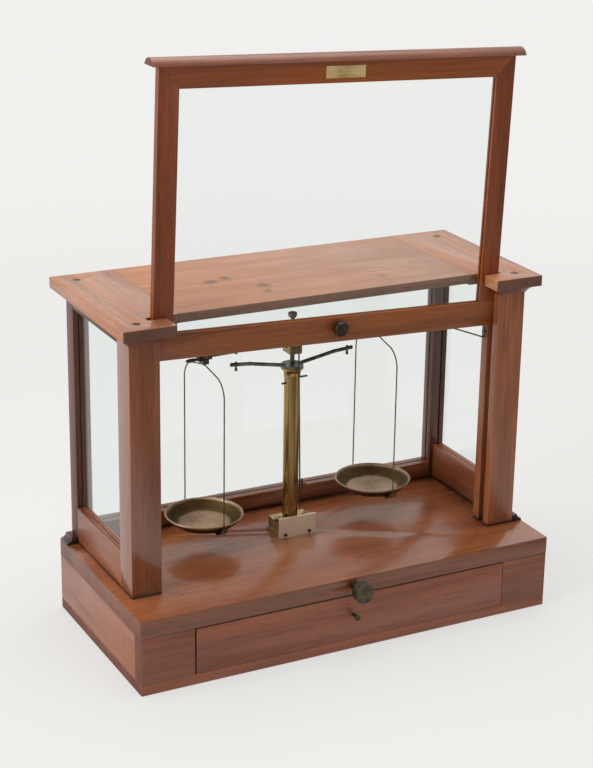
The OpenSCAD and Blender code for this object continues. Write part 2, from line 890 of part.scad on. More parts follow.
module sash_pane() {
  color(clear_glass) leaning() block(
    [-sash_open_x - sash_rebate, sash_open_x + sash_rebate],
    [sash_mid_y - sash_glass_t / 2, sash_mid_y + sash_glass_t / 2],
    [sash_open_z0 - sash_rebate, sash_open_z1 + sash_rebate]
  );
}

// Turned knob whose stem passes through the bottom rail
module sash_knob() {
  head_y = sash_knob_reach - sash_knob_head;
  color(dark_bronze) translate([sash_knob_x, sash_y0, sash_knob_z]) rotate([90, 0, 0])
    rotate_extrude($fn = 64) polygon([
      [0, -sash_t], [sash_knob_stem_r, -sash_t], [sash_knob_stem_r, sash_gap / 2],
      [sash_knob_r * sash_knob_neck, knob_edge], [sash_knob_r * sash_knob_neck, head_y - knob_edge],
      [sash_knob_r, head_y + knob_edge / 2], [sash_knob_r, sash_knob_reach - knob_edge],
      [sash_knob_r - knob_edge, sash_knob_reach], [0, sash_knob_reach]
    ]);
}

// Plain plate with the heads of its four pins
module name_plate() {
  color(pale_brass) leaning() {
    block(
      [-plate_w / 2, plate_w / 2],
      [sash_y0 - plate_t, sash_y0],
      [plate_z - plate_h / 2, plate_z + plate_h / 2]
    );
    for (x = [-1, 1])
      for (z = [-1, 1])
        bar_y(
          x * (plate_w / 2 - 1.6), plate_z + z * (plate_h / 2 - 1.6),
          sash_y0 - plate_t - 0.35, sash_y0 - plate_t + eps, 0.7
        );
  }
}

// Bent wire: a standing leg in the two eyes and a lying leg below
module stay_wire() {
  angle = 180 - stay_swing;
  color(steel) {
    bar([stay_x, stay_y, stay_lie_z], [stay_x, stay_y, stay_lie_z + stay_up], stay_r);
    translate([stay_x, stay_y, stay_lie_z]) sphere(r = stay_r, $fn = 24);
    bar(
      [stay_x, stay_y, stay_lie_z],
      [stay_x + stay_reach * cos(angle), stay_y + stay_reach * sin(angle), stay_lie_z],
      stay_r
    );
  }
}

// Two wire eyes driven into the post
module stay_eyes() {
  r = stay_r + eye_gap;
  color(steel) for (z = eye_z) difference() {
    union() {
      translate([stay_x, stay_y, z - eye_wire_r]) cylinder(h = 2 * eye_wire_r, r = r + eye_ring_t, $fn = 32);
      bar_x(stay_y, z, stay_x + r + eye_ring_t / 2, front_in_x, eye_wire_r);
    }
    translate([stay_x, stay_y, z - 2]) cylinder(h = 4, r = r, $fn = 32);
  }
}

module balance_foot() {
  color(old_brass) difference() {
    union() {
      block([balance_x - foot_w / 2, balance_x + foot_w / 2], [foot_y0, foot_y1], [deck_z, foot_z1]);
      block(
        [balance_x - foot_w / 2 - foot_flange_out, balance_x + foot_w / 2 + foot_flange_out],
        [foot_y0, foot_y1 + foot_flange_out],
        [deck_z, deck_z + foot_flange_h]
      );
    }
    translate([balance_x, balance_y, deck_z - eps]) cylinder(h = foot_chamber_h, r = chamber_r, $fn = 64);
    translate([balance_x, balance_y, deck_z]) cylinder(h = foot_h + 1, r = rod_r + rod_gap, $fn = 48);
    translate([balance_x, balance_y, foot_z1 - column_seat])
      cylinder(h = foot_h, r = column_r + fit, $fn = 64);
    for (side = [-1, 1]) {
      translate([balance_x + side * foot_screw_x, foot_screw_y, deck_z - 1])
        cylinder(h = foot_h + 2, r = foot_screw_r + screw_fit, $fn = 32);
      bar_y(
        balance_x + side * index_screw_x, index_screw_z, foot_y0 - 1, foot_y0 + index_screw_l + fit,
        index_screw_r + fit
      );
    }
  }
}

module index_plate() {
  color(pale_brass) difference() {
    block(
      [balance_x - index_w / 2, balance_x + index_w / 2], [foot_y0 - index_t, foot_y0], [deck_z, index_z1]
    );
    for (side = [-1, 1])
      bar_y(
        balance_x + side * index_screw_x, index_screw_z, foot_y0 - index_t - 1, foot_y0 + 1,
        index_screw_r + fit
      );
  }
}

module index_plate_screws() {
  plate_y = foot_y0 - index_t;
  color(dark_bronze) for (side = [-1, 1]) {
    x = balance_x + side * index_screw_x;
    bar_y(x, index_screw_z, plate_y - eps, foot_y0 + index_screw_l, index_screw_r);
    difference() {
      bar_y(x, index_screw_z, plate_y - index_screw_head_t, plate_y, index_screw_head_r);
      translate([x, plate_y - index_screw_head_t, index_screw_z])
        cube([3 * index_screw_head_r, index_screw_head_t, index_screw_head_r / 4], center = true);
    }
  }
}

module foot_screws() {
  color(pale_brass) for (side = [-1, 1]) translate([balance_x + side * foot_screw_x, foot_screw_y, foot_z1]) {
    translate([0, 0, -foot_h - foot_screw_depth])
      cylinder(h = foot_h + foot_screw_depth + eps, r = foot_screw_r, $fn = 32);
    difference() {
      cylinder(h = foot_screw_head_t, r = foot_screw_head_r, $fn = 48);
      translate([0, 0, foot_screw_head_t]) rotate([0, 0, foot_slot_turn]) cube(foot_slot, center = true);
    }
  }
}

module column_tube() {
  color(old_brass) at_column() difference() {
    translate([0, 0, column_z0 - column_seat]) cylinder(h = column_l + column_seat, r = column_r, $fn = 96);
    translate([0, 0, column_z0 - column_seat - 1]) cylinder(h = column_l + 5, r = column_bore_r, $fn = 64);
    bar_x(0, column_z1 - pin_up[0], 0, column_r + 1, pin_r + fit);
    bar_x(0, column_z1 - pin_up[1], -column_r - 1, 0, pin_r + fit);
  }
}

// Bell-shaped collar: a spigot in the tube, a flare and a flat top
module column_collar() {
  flare_z = column_z1 + 7.5;
  color(old_brass) at_column() rotate_extrude($fn = 96) polygon(concat(
    [
      [rod_r + rod_gap, column_z1 - 1], [rod_r + rod_gap, collar_z1],
      [collar_r, collar_z1], [collar_r, flare_z]
    ],
    [for (a = [80:-10:0])
      [column_r + 0.4 + (collar_r - column_r - 0.4) * (1 - cos(a)), column_z1 + 1 + 6.5 * sin(a)]],
    [
      [column_r + 0.4, column_z1], [column_bore_r - fit, column_z1], [column_bore_r - fit, column_z1 - 1]
    ]
  ));
}

module column_pins() {
  color(steel) at_column() {
    bar_x(0, column_z1 - pin_up[0], column_bore_r + 0.2, column_r + 8.2, pin_r);
    bar_x(0, column_z1 - pin_up[1], -column_r - 3.1, -column_bore_r - 0.2, pin_r);
  }
}

// Hub with two bent arms under the beam
module arrest_arms() {
  color(steel) at_column() difference() {
    union() {
      translate([0, 0, hub_z0]) cylinder(h = hub_t, r = hub_r, $fn = 64);
      for (side = [-1, 1]) {
        bar([side * (hub_r - 3), 0, arm_root_z], [side * bend_x, 0, bend_z], arm_r);
        translate([side * bend_x, 0, bend_z]) sphere(r = arm_r + arm_knuckle, $fn = 24);
        bar([side * bend_x, 0, bend_z], [side * tip_x, 0, tip_z], arm_r);
        translate([side * tip_x, 0, tip_z]) sphere(r = arm_r + arm_knuckle, $fn = 24);
      }
    }
    translate([0, 0, hub_z0 - 1]) cylinder(h = hub_t + 2, r = rod_r + rod_gap, $fn = 48);
    for (side = [-1, 1])
      translate([side * pad_x, 0, pad_arm_z - 2 * arm_r])
        cylinder(h = 4 * arm_r, r = pad_screw_r + fit, $fn = 24);
  }
}

// Screws through the tips of the arms, each with a pad above and a knurled end below
module arrest_pads() {
  color(steel) at_column() for (side = [-1, 1]) translate([side * pad_x, 0, pad_arm_z]) {
    translate([0, 0, -pad_screw_l]) cylinder(h = pad_screw_l + pad_up + eps, r = pad_screw_r, $fn = 24);
    translate([0, 0, pad_up]) cylinder(h = pad_t, r = pad_r, $fn = 32);
    translate([0, 0, -pad_screw_l - pad_end_l / 2]) cylinder(h = pad_end_l, r = pad_end_r, $fn = 24);
  }
}

module lifting_rod() {
  color(steel) at_column() {
    translate([0, 0, disc_z0]) cylinder(h = foot_disc_t, r = foot_disc_r, $fn = 64);
    translate([0, 0, disc_z0 + eps]) cylinder(h = fork_z0 + fork_rod_seat - disc_z0, r = rod_r, $fn = 48);
  }
}

module fork_block() {
  color(pale_brass) at_column() difference() {
    translate([-fork_w / 2, -fork_d / 2, fork_z0]) cube([fork_w, fork_d, knife_z - bearing_t - fork_z0]);
    translate([-fork_w, -fork_d / 2 + fork_arm_d, fork_z0 + fork_floor_h])
      cube([2 * fork_w, fork_d - 2 * fork_arm_d, knife_z - fork_z0]);
    translate([0, 0, fork_z0 - 1]) cylinder(h = fork_rod_seat + 1.2, r = rod_r + fit, $fn = 48);
    translate([-fork_w, 0, fork_z0 + hold_screw_up]) rotate([0, 90, 0])
      cylinder(h = fork_w, r = hold_screw_r, $fn = 24);
  }
}

module fork_bearings() {
  color(steel) at_column() for (side = [-1, 1])
    translate([-bearing_w / 2, side * (fork_d - fork_arm_d) / 2 - fork_arm_d / 2, knife_z - bearing_t])
      cube([bearing_w, fork_arm_d, bearing_t - bearing_play]);
}

module release_knob() {
  color(dark_bronze) translate([release_x, knob_y0, release_z]) rotate([-90, 0, 0]) difference() {
    rotate_extrude($fn = 96) polygon([
      [0, 0], [release_knob_r - knob_edge, 0], [release_knob_r, knob_edge],
      [release_knob_r, release_knob_t - knob_edge], [release_knob_r - knob_edge, release_knob_t],
      [knob_boss_r, release_knob_t], [knob_boss_r, release_reach - 0.4], [0, release_reach - 0.4]
    ]);
    translate([0, 0, knob_plug]) cylinder(h = release_reach, r = shaft_r + fit, $fn = 48);
  }
}

module release_shaft() {
  color(steel) bar_y(release_x, release_z, knob_y0 + knob_plug + 0.1, shaft_end_y - fit, shaft_r);
}

// Snail cam. Its support height over the shaft falls by the same amount for each degree of turn,
// so the flat follower drops evenly: height h toward direction a gives the edge point
// h * (sin a, cos a) + dh/da * (cos a, -sin a).
module release_cam() {
  slope = lift_rate * 180 / PI;
  top_h = least_h + lift;
  edge = concat(
    [for (a = [0:5:90]) let (h = top_h - lift_rate * a)
      [h * sin(a) - slope * cos(a), h * cos(a) + slope * sin(a)]],
    [for (a = [100:20:260]) [least_h * sin(a), least_h * cos(a)]]
  );
  color(steel) translate([release_x, cam_y0 + cam_w, release_z]) rotate([90, 0, 0]) difference() {
    linear_extrude(cam_w) polygon(edge);
    translate([0, 0, -1]) cylinder(h = cam_w + 2, r = shaft_r + fit, $fn = 48);
  }
}

// Section of a knife: its edge at the origin, its back upward
function knife_points(w, tall) =
  [[0, 0], [w / 2, tall * 0.6], [w / 2, tall], [-w / 2, tall], [-w / 2, tall * 0.6]];

// A knife lying along Y; up is 1 where the edge points down and -1 where it points up
module knife(w, tall, l, up) {
  translate([0, l / 2, 0]) rotate([90, 0, 0]) linear_extrude(l)
    polygon([for (p = knife_points(w, tall)) [p[0], up * p[1]]]);
}

// Half of the beam outline, from the middle to the right end
function beam_half() = [
  [fork_w / 2 + 2, -beam_drop], [arm_l - end_block_in, -beam_drop], [arm_l - end_block_in, -end_block_low],
  [arm_l + end_block_in, -end_block_low], [arm_l + end_block_in, end_block_high],
  [arm_l - end_block_in, end_block_high], [beam_top_x, beam_rise]
];

module beam_bar() {
  half = beam_half();
  last = len(half) - 1;
  color(dark_bronze) at_beam() difference() {
    union() {
      translate([0, beam_t / 2, 0]) rotate([90, 0, 0]) linear_extrude(beam_t) polygon(concat(
        half, [for (i = [last:-1:0]) [-half[i][0], half[i][1]]]
      ));
      both_sides() {
        block(
          [arm_l - end_block_in, arm_l + end_block_in], [-end_block_t / 2, end_block_t / 2],
          [-end_block_low, end_block_high]
        );
        bar_x(0, -nut_low, arm_l + end_block_in - eps, nut_x + nut_l / 2 + nut_screw_over, nut_screw_r);
      }
      for (side = [-1, 1]) translate([side * pad_x, 0, -beam_drop - beam_peg_l])
        cylinder(h = beam_peg_l + 0.5, r = beam_peg_r, $fn = 24);
      translate([0, 0, beam_rise - 0.5])
        cylinder(h = bob_z + bob_h - bob_cap - beam_rise + 0.5, r = bob_screw_r, $fn = 24);
    }
    translate([0, beam_t, 0]) rotate([90, 0, 0]) linear_extrude(2 * beam_t) {
      polygon(knife_points(knife_w + 2 * fit, knife_tall + fit));
      for (side = [-1, 1]) for (i = [0:2]) {
        x0 = window_x + window_pitch * i;
        x1 = x0 + window_w;
        polygon([
          [side * x0, -beam_drop + beam_frame], [side * x1, -beam_drop + beam_frame],
          [side * x1, window_top(x1)], [side * x0, window_top(x0)]
        ]);
      }
    }
    for (side = [-1, 1])
      translate([side * arm_l, 0, 0]) knife(end_knife_w + 2 * fit, end_knife_tall + fit, 2 * end_block_t, -1);
    for (side = [-1, 1])
      translate([side * arm_l, 0, end_block_high / 2]) cube(screw_slit, center = true);
  }
}

// Upper edge of a beam window, parallel to the beam's upper edge
function window_top(x) =
  beam_rise - beam_frame
  - (beam_rise - end_block_high) * (x - beam_top_x) / (arm_l - end_block_in - beam_top_x);

module beam_knives() {
  color(steel) at_beam() {
    knife(knife_w, knife_tall, knife_l, 1);
    for (side = [-1, 1]) translate([side * arm_l, 0, 0]) knife(end_knife_w, end_knife_tall, end_knife_l, -1);
  }
}

module poising_nut(side) {
  color(dark_bronze) at_beam() difference() {
    bar_x(0, -nut_low, side * nut_x - nut_l / 2, side * nut_x + nut_l / 2, nut_r);
    bar_x(0, -nut_low, side * nut_x - nut_l, side * nut_x + nut_l, nut_screw_r + fit);
  }
}

module left_poising_nut() {
  poising_nut(-1);
}

module right_poising_nut() {
  poising_nut(1);
}

// Needle on a bracket in front of the beam, with a small cross-shaped rider near its foot
module pointer() {
  bracket_z = knife_tall + 0.6;
  rider_z = -pointer_l + rider_up;
  rider_y = [-pointer_out - rider_wire / 2, -pointer_out + rider_wire / 2];
  color(steel) at_beam() {
    block(
      [-bracket_w / 2, bracket_w / 2],
      [-pointer_out - bracket_nose, -beam_t / 2],
      [bracket_z, bracket_z + bracket_h]
    );
    translate([0, -pointer_out, -pointer_l + pointer_taper])
      cylinder(h = pointer_l - pointer_taper + bracket_z + bracket_h / 2, r = pointer_r, $fn = 24);
    translate([0, -pointer_out, -pointer_l])
      cylinder(h = pointer_taper + eps, r1 = pointer_tip_r, r2 = pointer_r, $fn = 24);
    block(
      [-rider_wire * 1.6, rider_w - rider_wire * 1.6], rider_y, [rider_z - rider_wire, rider_z + rider_wire]
    );
    block([rider_wire * 2, rider_wire * 3.75], rider_y, [rider_z - rider_h * 0.43, rider_z + rider_h * 0.57]);
  }
}

module gravity_bob() {
  color(dark_bronze) at_beam() translate([0, 0, bob_z]) difference() {
    rotate_extrude($fn = 64) polygon([
      [0, 0], [bob_r * 0.42, 0], [bob_r * 0.46, 1.4], [bob_r * 0.8, 2.4], [bob_r, 4],
      [bob_r, bob_h - 0.5], [bob_r - 0.5, bob_h], [0, bob_h]
    ]);
    translate([0, 0, -1]) cylinder(h = bob_h, r = bob_screw_r + fit, $fn = 24);
  }
}

// Two cheeks that hang on an end knife, joined by a round bar below
module stirrup() {
  for (side = [-1, 1]) difference() {
    translate([-cheek_w / 2, side * (cheek_in + cheek_t / 2) - cheek_t / 2, stirrup_bar_z - 0.9])
      cube([cheek_w, cheek_t, 0.9 - stirrup_bar_z + 3]);
    translate([-2.3, side * (cheek_in + cheek_t / 2) - cheek_t, -5.2]) cube([4.6, 2 * cheek_t, 5.22]);
  }
  bar_y(0, stirrup_bar_z, -cheek_in - eps, cheek_in + eps, stirrup_bar_r);
}

module left_stirrup() {
  color(steel) at_end(-1) stirrup();
}

module right_stirrup() {
  color(steel) at_end(1) stirrup();
}

// Half of the hanging wire: leg, rounded shoulder and slope up to the ring, joined by small beads
module bow_half() {
  a = 90 - shoulder_slope;
  bead = [0, shoulder_end_x, bow_top_z - shoulder_end_x * tan(shoulder_slope)];
  slope_end_y = shoulder_end_x - bead_gap * cos(shoulder_slope);
  bar([0, bow_x, strap_top(bow_x) - strap_hole_depth], [0, bow_x, shoulder_z - bead_gap], bow_r);
  translate([0, bow_x, shoulder_z]) sphere(r = bead_r, $fn = 24);
  translate([0, bow_x - shoulder_r, shoulder_z]) rotate([90, 0, 90]) rotate([0, 0, bead_turn])
    rotate_extrude(angle = a - 2 * bead_turn, $fn = 72) translate([shoulder_r, 0]) circle(r = bow_r, $fn = 24);
  translate(bead) sphere(r = bead_r, $fn = 24);
  bar(
    [0, slope_end_y, bow_top_z - slope_end_y * tan(shoulder_slope)],
    [0, neck_in, bow_top_z - neck_in * tan(shoulder_slope)],
    bow_r
  );
}

// Height of the top of the strap at a distance from the middle
function strap_top(y) = strap_z + max(0, y - strap_flat) * strap_rise / (strap_end - strap_flat);

module strap() {
  translate([-strap_w / 2, 0, 0]) rotate([90, 0, 90]) linear_extrude(strap_w) polygon(concat(
    [for (y = [-strap_end, -strap_flat, strap_flat, strap_end]) [y, strap_top(abs(y))]],
    [for (y = [strap_end, strap_flat, -strap_flat, -strap_end]) [y, strap_top(abs(y)) - strap_t]]
  ));
  block(
    [-strap_w / 2, strap_w / 2], [-strap_end - tab_t, -strap_end],
    [strap_top(strap_end) - strap_t, strap_top(strap_end) + tab_h]
  );
}

module bow(turn) {
  rotate([0, 0, turn]) {
    translate([0, 0, ring_z]) rotate([90, 0, -turn]) rotate_extrude($fn = 48)
      translate([ring_r, 0]) circle(r = ring_wire_r, $fn = 24);
    bow_half();
    mirror([0, 1, 0]) bow_half();
    translate([0, 0, bow_top_z - neck_down]) cylinder(h = neck_down + neck_up, r = neck_r, $fn = 24);
    strap();
  }
}

module left_bow() {
  color(old_brass) at_end(-1) bow(left_bow_turn);
}

module right_bow() {
  color(old_brass) at_end(1) bow(right_bow_turn);
}

// Sheet-metal dish: flat bottom, a wall that steepens towards the rim, and a beaded rim
module pan() {
  wall_r = pan_r - pan_flat_r;
  fall = [for (i = [0:wall_steps]) pow(i / wall_steps, wall_curve) - 1];
  translate([0, 0, -pan_drop]) rotate_extrude($fn = 96) {
    polygon(concat(
      [[0, -pan_depth - pan_t]],
      [for (i = [0:wall_steps]) [pan_flat_r + wall_r * i / wall_steps, (pan_depth + pan_t) * fall[i]]],
      [for (i = [wall_steps:-1:0])
        [pan_flat_r + (wall_r - pan_t) * i / wall_steps, pan_depth * fall[i]]],
      [[0, -pan_depth]]
    ));
    translate([pan_r - 0.3, 0]) circle(r = 0.7, $fn = 24);
  }
}

module left_pan() {
  color(old_brass) at_end(-1) pan();
}

module right_pan() {
  color(old_brass) at_end(1) pan();
}

base_top_board();
base_sides();
base_back_board();
base_bottom_board();
base_front_blocks();
drawer_guides();
drawer_front();
drawer_sides();
drawer_back();
drawer_bottom();
drawer_pull_pin();
front_left_post();
front_right_post();
back_posts();
post_capitals();
side_cornices();
foot_coves();
bottom_rails();
top_rails();
side_panes();
back_pane();
top_centre_panel();
top_end_boards();
top_plugs();
sash_stiles();
sash_top_rail();
sash_bottom_rail();
sash_cap();
sash_pane();
sash_knob();
name_plate();
stay_wire();
stay_eyes();
balance_foot();
index_plate();
index_plate_screws();
foot_screws();
column_tube();
column_collar();
column_pins();
arrest_arms();
arrest_pads();
lifting_rod();
fork_block();
fork_bearings();
release_knob();
release_shaft();
release_cam();
beam_bar();
beam_knives();
left_poising_nut();
right_poising_nut();
pointer();
gravity_bob();
left_stirrup();
right_stirrup();
left_bow();
right_bow();
left_pan();
right_pan();
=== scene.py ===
import math
import bmesh
import bpy
import numpy as np
from mathutils import Matrix, Vector


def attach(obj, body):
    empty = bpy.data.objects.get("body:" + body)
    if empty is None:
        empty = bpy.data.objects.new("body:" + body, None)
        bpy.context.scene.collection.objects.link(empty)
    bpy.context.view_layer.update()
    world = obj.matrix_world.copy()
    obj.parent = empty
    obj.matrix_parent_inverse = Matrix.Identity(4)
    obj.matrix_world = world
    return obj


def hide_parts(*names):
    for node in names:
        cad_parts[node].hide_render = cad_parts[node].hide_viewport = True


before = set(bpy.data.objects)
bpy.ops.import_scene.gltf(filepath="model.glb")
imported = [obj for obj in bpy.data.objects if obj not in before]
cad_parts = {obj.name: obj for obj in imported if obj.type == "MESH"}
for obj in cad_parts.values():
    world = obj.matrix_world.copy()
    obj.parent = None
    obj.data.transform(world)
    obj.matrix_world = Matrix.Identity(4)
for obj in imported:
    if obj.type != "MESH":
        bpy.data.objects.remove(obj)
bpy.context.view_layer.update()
MM = 0.001

# Studio camera, standing to the left of the balance and looking a little down on it.
# Its place and lens were worked out from the straight edges of the case.
camera_place = Vector((-748.0, -1431.7, 798.0)) * MM
camera_yaw, camera_pitch, camera_roll = (math.radians(a) for a in (29.327, 19.406, 1.627))
camera_data = bpy.data.cameras.new("camera")
camera_data.lens = 89.82
camera_data.shift_x, camera_data.shift_y = -0.0875, -0.0115
camera_data.clip_start, camera_data.clip_end = 0.05, 60
camera = bpy.data.objects.new("camera", camera_data)
camera.matrix_world = (
    Matrix.Translation(camera_place)
    @ Matrix.Rotation(-camera_yaw, 4, "Z")
    @ Matrix.Rotation(math.pi / 2 - camera_pitch, 4, "X")
    @ Matrix.Rotation(camera_roll, 4, "Z")
)
bpy.context.collection.objects.link(camera)
bpy.context.scene.camera = camera
bpy.context.scene.view_settings.view_transform = "Standard"


# Plain pale floor of the studio, a matt white sheet that runs away to the same white as the air.
# It shines by itself, the far part most, so that it has no horizon and only faint shadows.
# Mirror-like surfaces see it grey in front, where the sheet ends and the dim half of the room begins.
def paint(red, green, blue):
    """A colour as it is mixed on a screen, 0 to 255, turned into the linear light that shaders take."""
    c = np.array((red, green, blue)) / 255
    return (*np.where(c < 0.04045, c / 12.92, ((c + 0.055) / 1.055) ** 2.4), 1.0)


def put(tree, kind, inputs=None, **settings):
    """Adds a shader node, sets its properties, and gives its inputs a value or another node's output."""
    made = tree.nodes.new("ShaderNode" + kind)
    for key, value in settings.items():
        setattr(made, key, value)
    for key, value in (inputs or {}).items():
        if isinstance(value, bpy.types.NodeSocket):
            tree.links.new(value, made.inputs[key])
        else:
            made.inputs[key].default_value = value
    return made


def maths(tree, operation, first, second=0.0, third=0.0, clamp=False):
    """A Math node, with its result as a socket."""
    return put(tree, "Math", {0: first, 1: second, 2: third}, operation=operation, use_clamp=clamp).outputs[0]


def eased(tree, value, start, end, low=0.0, high=1.0):
    """Runs smoothly from low to high while value goes from start to end."""
    return put(tree, "MapRange", {
        "Value": value, "From Min": start, "From Max": end, "To Min": low, "To Max": high,
    }, interpolation_type="SMOOTHSTEP").outputs["Result"]


def through_glass(tree):
    """1 for a ray that the camera sends through clear glass, 0 for others, also after a matt bounce."""
    ray = put(tree, "LightPath")
    no_matt_bounce = maths(tree, "LESS_THAN", ray.outputs["Diffuse Depth"], 0.5)
    return maths(tree, "MULTIPLY", ray.outputs["Is Transmission Ray"], no_matt_bounce)


def new_material(name):
    """An empty node material and its tree, with an output node."""
    material = bpy.data.materials.new(name)
    material.use_nodes = True
    tree = material.node_tree
    tree.nodes.clear()
    return material, tree, tree.nodes.new("ShaderNodeOutputMaterial")


white_paper = paint(241, 240, 238)
floor_material, tree, output = new_material("floor_paper")
place = put(tree, "TexCoord").outputs["Object"]
distance = put(tree, "VectorMath", {0: place}, operation="LENGTH").outputs["Value"]
fade = eased(tree, distance, 0.3, 1.3, low=0.66)
near = put(tree, "BsdfDiffuse", {"Color": paint(216, 215, 213)})
glow = put(tree, "MapRange", {
    "Value": distance, "From Min": 0.5, "From Max": 1.6, "To Min": 0.925, "To Max": 1.0,
})
far = put(tree, "Emission", {"Color": white_paper, "Strength": glow.outputs["Result"]})
both = put(tree, "MixShader", {0: fade, 1: near.outputs[0], 2: far.outputs[0]})
in_front = eased(tree, put(tree, "SeparateXYZ", {0: place}).outputs["Y"], -0.15, -0.6)
glossy = put(tree, "LightPath").outputs["Is Glossy Ray"]
mirrored = maths(tree, "SUBTRACT", glossy, through_glass(tree))
dimmed = maths(tree, "MULTIPLY", in_front, mirrored, clamp=True)
dim = put(tree, "Emission", {"Color": (1, 1, 1, 1), "Strength": 0.24})
sheet = put(tree, "MixShader", {0: dimmed, 1: both.outputs[0], 2: dim.outputs[0]})
tree.links.new(sheet.outputs[0], output.inputs["Surface"])
floor_radius = 14  # metres
bpy.ops.mesh.primitive_circle_add(vertices=64, radius=floor_radius, fill_type="NGON")
floor = bpy.context.object
floor.name = "floor"
floor.data.materials.append(floor_material)

# Soft light: a room that is pale behind and above and dim in front, a large cloth overhead,
# a bright one on the left and a weaker one in front.
world = bpy.data.worlds.new("studio_air")
bpy.context.scene.world = world
world.use_nodes = True
tree = world.node_tree
tree.nodes.clear()
ray = put(tree, "LightPath")
seen_level = put(tree, "Background", {"Color": white_paper, "Strength": 1.0})
bright_side = (0.1, 0.8, 0.55)
direction = put(tree, "TexCoord").outputs["Generated"]
toward = put(tree, "VectorMath", {0: direction, 1: bright_side}, operation="DOT_PRODUCT").outputs["Value"]
brightness = eased(tree, toward, -0.45, 0.45, low=0.3, high=0.95)
shine_level = put(tree, "Background", {"Color": white_paper, "Strength": brightness})
light_level = put(tree, "Background", {"Color": (1, 1, 1, 1), "Strength": 0.42})
shine = put(tree, "MixShader", {
    0: ray.outputs["Is Glossy Ray"], 1: light_level.outputs[0], 2: shine_level.outputs[0],
})
direct = maths(tree, "MAXIMUM", ray.outputs["Is Camera Ray"], through_glass(tree))
seen = put(tree, "MixShader", {0: direct, 1: shine.outputs[0], 2: seen_level.outputs[0]})
air_output = tree.nodes.new("ShaderNodeOutputWorld")
tree.links.new(seen.outputs[0], air_output.inputs["Surface"])


def soft_light(name, place, aim, size, power):
    """A square cloth of light at a place, turned to face the point aim."""
    data = bpy.data.lights.new(name, "AREA")
    data.size, data.energy = size, power
    lamp = bpy.data.objects.new(name, data)
    lamp.location = place
    lamp.rotation_euler = (Vector(aim) - Vector(place)).to_track_quat("-Z", "Y").to_euler()
    bpy.context.collection.objects.link(lamp)


soft_light("overhead_cloth", place=(0.2, 0.3, 2.4), aim=(0, 0, 0.2), size=2.2, power=54)
soft_light("left_cloth", place=(-2.3, -0.2, 1.2), aim=(0, 0, 0.25), size=1.8, power=52)
soft_light("front_cloth", place=(1.2, -2.4, 1.4), aim=(0, 0, 0.2), size=1.2, power=7)


# Base box: a deep plinth of mahogany boards, glued and pinned. The deck is glossy, with spots of dirt.
# Every board is a planed copy of its solid: its arrises are broken, as a cabinet maker does with a
# stroke of sandpaper, and the rounded edges get their own wood, mostly lighter: a painted highlight
# along them, with the varnish rubbed paler.
light_wood, dark_wood = paint(146, 84, 52), paint(88, 46, 27)
X, Y, Z = 0, 1, 2


def corners_of(node):
    """The lowest and the highest corner of a CAD piece, in mm."""
    box = np.array(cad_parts[node].bound_box) / MM
    return box.min(0), box.max(0)


